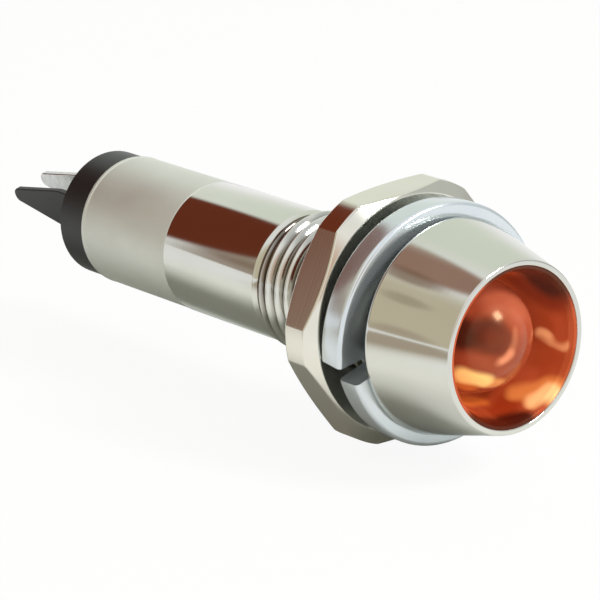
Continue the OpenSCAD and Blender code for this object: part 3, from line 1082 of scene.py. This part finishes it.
# %% Rear sleeve
SLEEVE_BORE_R = SLEEVE_R - 0.5
BEAD_NECK_R = SLEEVE_R - 0.02  # the tube just in front of its rolled edge
BEAD_R = 0.28
bead_y = SLEEVE_END - BEAD_R
bead_x = SLEEVE_R - BEAD_R
bead = [
    (bead_x + BEAD_R * math.cos(math.radians(a)), bead_y + BEAD_R * math.sin(math.radians(a)))
    for a in range(-40, 221, 20)
]
sleeve_section = rounded(
    [
        (SLEEVE_BORE_R, SEAM),
        (SLEEVE_R, SEAM, 0.1),
        (BEAD_NECK_R, bead_y - 1.3 * BEAD_R),
        *bead,
        (SLEEVE_BORE_R, bead_y - 0.6 * BEAD_R),
    ]
)
sleeve = to_object("sleeve", lathe_mesh("sleeve", sleeve_section), satin_nickel)
settle(sleeve, "housing", "nickel_plate", "rear_sleeve")

# %% [markdown]
# ## Liner and lens
# The liner is a thin tapered cup that lines the head, from just inside the rim to the lens. The
# lens is a hollow dome on a flange, held between the liner and the head. Both are round about the
# lamp's axis, so both are half sections swept once round. The dome's two skins are arcs from the
# same centre, which keeps its wall even.

# %% Liner
LENS_R = 3.9
FIT_GAP = 0.05  # left round the lens
LINER_T = 0.4
LINER_R = MOUTH_R - 0.03
liner_hole_r = LENS_R + FIT_GAP
liner_low, liner_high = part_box("liner_cup")
liner_front = liner_low.y / MM
liner_back = liner_high.y / MM
liner_section = rounded(
    [
        (LINER_R - LINER_T / 2, liner_front, 0.04),
        (LINER_R, liner_front),
        (POCKET_R, liner_back),
        (liner_hole_r, liner_back),
        (liner_hole_r, liner_back - LINER_T, 0.08),
        (POCKET_R - LINER_T, liner_back - LINER_T, 0.3),
        (LINER_R - LINER_T, liner_front + LINER_T, 0.2),
    ]
)
liner = to_object("cup_liner", lathe_mesh("cup_liner", liner_section), liner_amber)
settle(liner, "housing", "amber_liner", "liner_cup")

# %% Lens
LENS_WALL = 0.95
LENS_FLANGE_R = 4.5
lens_low, lens_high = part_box("lens_dome")
lens_centre = lens_low.y / MM + LENS_R
lens_spigot_r = BORE_R - FIT_GAP
lens_end = lens_high.y / MM
lens_section = (
    dome(LENS_R, lens_centre, 0, 90, 32)
    + [
        (LENS_R, POCKET_Y),
        (LENS_FLANGE_R, POCKET_Y),
        (LENS_FLANGE_R, LENS_SEAT),
        (lens_spigot_r, LENS_SEAT),
        (lens_spigot_r, lens_end),
        (LENS_R - LENS_WALL, lens_end),
    ]
    + dome(LENS_R - LENS_WALL, lens_centre, 90, 0, 24)
)
lens = to_object("dome_lens", lathe_mesh("dome_lens", lens_section), lens_amber)
settle(lens, "housing", "amber_lens", "lens_dome")

# %% [markdown]
# ## Solder tags
# Each tag is stamped from 0.5 mm strip, so its edges are slightly rolled over. The outline is a
# narrow stub inside the plug, a wide blade behind it and a taper that ends in a half circle.

# %% Tag sizes
TAG_T = 0.5
TAG_W = 3.2
TAG_TIP_W = 1.1
STUB_W = 1.5
TAG_SPACING = 2.54
TAG_ANGLE = 18.0  # degrees about the lamp's axis
TAG_TAPER = 6.0
TAG_EDGE = 0.08  # width of the rolled edges
TIP_STEPS = 16
tag_low, tag_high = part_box("positive_tag")
stub_front, tip = tag_low.y / MM, tag_high.y / MM
plug_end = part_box("insulator_plug")[1].y / MM
print("Tags stand", round(tip - plug_end, 2), "mm out of the plug")


# %% Solder tags
def tag_mesh(name, side):
    """A flat tag in the turned plane of the pair: side is 1 or -1."""
    tip_r = TAG_TIP_W / 2
    outline = [(stub_front, -STUB_W / 2), (plug_end, -STUB_W / 2), (plug_end, -TAG_W / 2)]
    outline.append((tip - TAG_TAPER, -TAG_W / 2))
    for k in range(TIP_STEPS + 1):
        a = math.radians(-90 + 180 * k / TIP_STEPS)
        outline.append((tip - tip_r + tip_r * math.cos(a), tip_r * math.sin(a)))
    outline.append((tip - TAG_TAPER, TAG_W / 2))
    outline += [(plug_end, TAG_W / 2), (plug_end, STUB_W / 2), (stub_front, STUB_W / 2)]
    work = bmesh.new()
    x0 = side * TAG_SPACING / 2 - TAG_T / 2
    near = [work.verts.new((x0 * MM, y * MM, z * MM)) for y, z in outline]
    face = work.faces.new(near)
    grown = bmesh.ops.extrude_face_region(work, geom=[face])
    moved = [v for v in grown["geom"] if isinstance(v, bmesh.types.BMVert)]
    bmesh.ops.translate(work, verts=moved, vec=(TAG_T * MM, 0, 0))
    mesh = bpy.data.meshes.new(name)
    work.to_mesh(mesh)
    work.free()
    mesh.transform(Matrix.Rotation(-math.radians(TAG_ANGLE), 4, "Y"))
    return tidy_mesh(mesh)


for name, side, finish, slot_name in [
    ("positive_tag", 1, tinned, "tinned_tag"),
    ("negative_tag", -1, tinned_shaded, "dark_tag"),
]:
    tag = to_object(name + "_strip", tag_mesh(name + "_strip", side), finish)
    rolled = tag.modifiers.new("rolled_edge", "BEVEL")
    rolled.width = TAG_EDGE * MM
    rolled.segments = 2
    rolled.limit_method = "ANGLE"
    rolled.angle_limit = math.radians(40)
    settle(tag, "housing", slot_name, name)

# %% [markdown]
# ## Pieces kept from the CAD model
# The wiring and the LED inside are already the right shape, so they only get their finishes.

# %% Finishes for the carried-over nodes
# Each node's name and the finish it takes.
NODE_FINISH = {
    "insulator_plug": plug_black,
    "led_body": led_amber,
    "led_chip": chip_face,
    "led_anode": tinned,
    "led_cathode": tinned,
    "bond_wire": gold_wire,
    "led_holder": holder_black,
    "insulating_tube": tube_natural,
    "resistor_body": resistor_lacquer,
    "resistor_front_lead": tinned,
    "resistor_rear_lead": tinned,
    "diode_body": diode_epoxy,
    "diode_front_lead": tinned,
    "diode_rear_lead": tinned,
    "led_solder_joints": solder_bright,
    "tag_solder_joints": solder_bright,
}
for node_name, finish in NODE_FINISH.items():
    slots = frame["nodes"][node_name].data.materials
    slots.clear()
    slots.append(finish)
print(len(NODE_FINISH), "carried-over nodes finished")

# %% [markdown]
# ## Studio
# Bright metal shows its room. The room here is white, as the background is, with a khaki wall on
# the left, a dark brown curtain behind on the left, a shelf above it and a few soft cards
# elsewhere, so that the metal has something to show from every side. Round patches of the sky are
# the quickest way to hang such things: each is a direction, two angles and a colour. The camera
# sees plain white, and so do gloss and glass wherever no patch hangs.


# %% Directions and patches
def sky_direction(azimuth, elevation):
    """A direction: azimuth 0 is behind the lamp, at +Y, and grows towards +X."""
    a, e = math.radians(azimuth), math.radians(elevation)
    return (math.sin(a) * math.cos(e), math.cos(a) * math.cos(e), math.sin(e))


def patch(tree, direction, centre, inner_deg, outer_deg):
    """1 inside a round patch of the surroundings and 0 outside it, with a soft edge."""
    facing = add_node(
        tree, "ShaderNodeVectorMath", {0: direction, 1: centre}, operation="DOT_PRODUCT"
    )
    return add_node(
        tree,
        "ShaderNodeMapRange",
        {
            "Value": facing.outputs["Value"],
            "From Min": math.cos(math.radians(outer_deg)),
            "From Max": math.cos(math.radians(inner_deg)),
        },
        interpolation_type="SMOOTHSTEP",
    ).outputs[0]


print("Behind the lamp is", sky_direction(0, 0))


# %% Kinds of ray
def shiny_ray(tree):
    """Two masks: 1 for a ray that gloss or clear material sent, and 1 for the camera's own."""
    path = add_node(tree, "ShaderNodeLightPath")
    shiny = add_node(
        tree,
        "ShaderNodeMath",
        {0: path.outputs["Is Glossy Ray"], 1: path.outputs["Is Transmission Ray"]},
        operation="MAXIMUM",
    ).outputs[0]
    return shiny, path.outputs["Is Camera Ray"]


print("Ray masks ready")

# %% What hangs in the room
ROOM_PATCHES = [
    # (azimuth, elevation, full inside, gone outside, colour, share)
    (-76, 18, 24, 44, "CFC4A8", 0.9),
    (-35, 63, 11, 17, "A07A68", 0.95),
    (-53, 51, 3, 8, "8A6C58", 0.8),
    (-66, 32, 2, 6, "8E7B66", 0.45),
    (-70, 1, 3, 8, "A08C7C", 0.5),
    (42, 45, 12, 40, "E8F0E0", 0.8),
    (-45, 1, 4, 17, "A29183", 0.9),
    (-41, 13, 3, 10, "7A5B46", 0.6),
    (-17, 28, 22, 26.5, "703522", 1.0),
    (-160, 9, 9, 26, "CFA98C", 0.8),
    (120, 22, 14, 34, "AEB4B0", 0.7),
    (85, 8, 8, 24, "8F8C84", 0.6),
    (170, 50, 10, 26, "B4B9BB", 0.6),
]
print(len(ROOM_PATCHES), "patches")

# %% World
world = bpy.data.worlds.new("studio")
bpy.context.scene.world = world
world.use_nodes = True
room = world.node_tree
room.nodes.clear()
direction = add_node(room, "ShaderNodeTexCoord").outputs["Generated"]
height = add_node(room, "ShaderNodeSeparateXYZ", {0: direction}).outputs["Z"]
sky = add_node(
    room,
    "ShaderNodeValToRGB",
    {"Fac": height},
    stops=[(0.0, "E4E6E2"), (0.45, "EAEBE7"), (1.0, "DCE2DD")],
)
shiny, seen = shiny_ray(room)
white_share = add_node(room, "ShaderNodeMath", {0: shiny, 1: seen}, operation="MAXIMUM")
tone = add_node(
    room,
    "ShaderNodeMix",
    {"Factor": white_share.outputs[0], "A": sky.outputs["Color"], "B": WHITE},
    data_type="RGBA",
).outputs["Result"]
unseen = add_node(room, "ShaderNodeMath", {0: 1.0, 1: seen}, operation="SUBTRACT").outputs[0]
for azimuth, elevation, inner, outer, hue, share in ROOM_PATCHES:
    mask = patch(room, direction, sky_direction(azimuth, elevation), inner, outer)
    weight = add_node(room, "ShaderNodeMath", {0: mask, 1: share}, operation="MULTIPLY")
    hung = add_node(
        room, "ShaderNodeMath", {0: weight.outputs[0], 1: unseen}, operation="MULTIPLY"
    )
    tone = add_node(
        room,
        "ShaderNodeMix",
        {"Factor": hung.outputs[0], "A": tone, "B": srgb(hue)},
        data_type="RGBA",
    ).outputs["Result"]
room_light = add_node(room, "ShaderNodeBackground", {"Color": tone, "Strength": 1.0})
add_node(room, "ShaderNodeOutputWorld", {"Surface": room_light.outputs[0]})
print("World with", len(room.nodes), "nodes")

# %% [markdown]
# ## Lamp and floor
# One square soft box above the camera gives the dome its highlight and the floor a faint shadow.
# The floor is white paper. Seen by the camera it is lifted towards the white of the background.
# In gloss it is lifted too, but less near the lamp, so that the lamp's own shadow still shows in
# the metal. Two soft strips of colour lie on it that only gloss shows: khaki far out on the left,
# and painted shade, grey, under the thread and the barrel, so that the metal's undersides aren't
# plain white.

# %% Soft box
BOX_TOWARDS = Vector((0.295, -0.703, 0.648))
BOX_DISTANCE = 0.40  # in metres
BOX_SIDE = 0.095  # in metres
BOX_WATTS = 1.1
soft_box_data = bpy.data.lights.new("key", "AREA")
soft_box_data.shape = "SQUARE"
soft_box_data.size = BOX_SIDE
soft_box_data.energy = BOX_WATTS
soft_box = bpy.data.objects.new("key", soft_box_data)
soft_box.location = BOX_TOWARDS.normalized() * BOX_DISTANCE
soft_box.rotation_euler = BOX_TOWARDS.to_track_quat("Z", "Y").to_euler()
bpy.context.scene.collection.objects.link(soft_box)
print("Soft box at", [round(v / MM) for v in soft_box.location], "mm")

# %% Sheet of paper
FLOOR_Z = -9.6 * MM
FLOOR_REACH = 2.0  # in metres
FLOOR_CORNERS = [(-1, -1), (1, -1), (1, 1), (-1, 1)]
floor_mesh = bpy.data.meshes.new("floor")
floor_mesh.from_pydata(
    [(x * FLOOR_REACH, y * FLOOR_REACH, FLOOR_Z) for x, y in FLOOR_CORNERS], [], [(0, 1, 2, 3)]
)
print("Paper at", round(FLOOR_Z / MM, 1), "mm")

# %% Colours of the paper
# (colour, start and end in mm, full inside, gone outside, share), seen in gloss alone
FLOOR_STREAKS = [
    ("B0A08A", (-70, 25, FLOOR_Z / MM), (-220, 70, FLOOR_Z / MM), 15, 48, 0.9),
    # painted shade under the thread and the barrel, seen in gloss alone
    ("8C938B", (0, 9, FLOOR_Z / MM), (0, 44, FLOOR_Z / MM), 7, 20, 0.6),
]
# Uncoated paper: an even, matt white without a sheen.
floor_paper, paper = new_material("white_paper")
spot = add_node(paper, "ShaderNodeTexCoord").outputs["Object"]
shiny, seen = shiny_ray(paper)
shown = paint(paper, WHITE, FLOOR_STREAKS, spot)
tone = add_node(
    paper, "ShaderNodeMix", {"Factor": shiny, "A": srgb("F4F4F2"), "B": shown}, data_type="RGBA"
).outputs["Result"]
white_or_shown = add_node(
    paper, "ShaderNodeMix", {"Factor": shiny, "A": WHITE, "B": shown}, data_type="RGBA"
).outputs["Result"]
print(len(FLOOR_STREAKS), "strips on the paper")

# %% Lift of the paper
FLOOR_LIFT = 0.92  # share of plain light in what the camera sees
LIFT_NEAR, LIFT_FAR = 20 * MM, 60 * MM  # in gloss: none inside the first, all outside the second
middle = (cad_box[0] + cad_box[1]) / 2
away = add_node(
    paper, "ShaderNodeVectorMath", {0: spot, 1: (0, middle.y, FLOOR_Z)}, operation="DISTANCE"
)
far = add_node(
    paper,
    "ShaderNodeMapRange",
    {"Value": away.outputs["Value"], "From Min": LIFT_NEAR, "From Max": LIFT_FAR},
    interpolation_type="SMOOTHSTEP",
)
in_gloss = add_node(paper, "ShaderNodeMath", {0: shiny, 1: far.outputs[0]}, operation="MULTIPLY")
either = add_node(paper, "ShaderNodeMath", {0: seen, 1: in_gloss.outputs[0]}, operation="MAXIMUM")
share = add_node(
    paper, "ShaderNodeMath", {0: either.outputs[0], 1: FLOOR_LIFT}, operation="MULTIPLY"
).outputs[0]
print("The paper lifts from", LIFT_NEAR / MM, "to", LIFT_FAR / MM, "mm")

# %% Floor
sheet_shader = add_node(paper, "ShaderNodeBsdfDiffuse", {"Color": tone})
lift = add_node(paper, "ShaderNodeEmission", {"Color": white_or_shown, "Strength": 1.0})
mixed = add_node(
    paper, "ShaderNodeMixShader", {0: share, 1: sheet_shader.outputs[0], 2: lift.outputs[0]}
)
finish_material(paper, mixed)
floor = to_object("floor", floor_mesh, floor_paper)
print("Floor ready with", len(paper.nodes), "nodes")

# %% [markdown]
# ## Output
# The view transform is Standard, so that a colour renders about as it is written.

# %% Output settings
bpy.context.scene.view_settings.view_transform = "Standard"
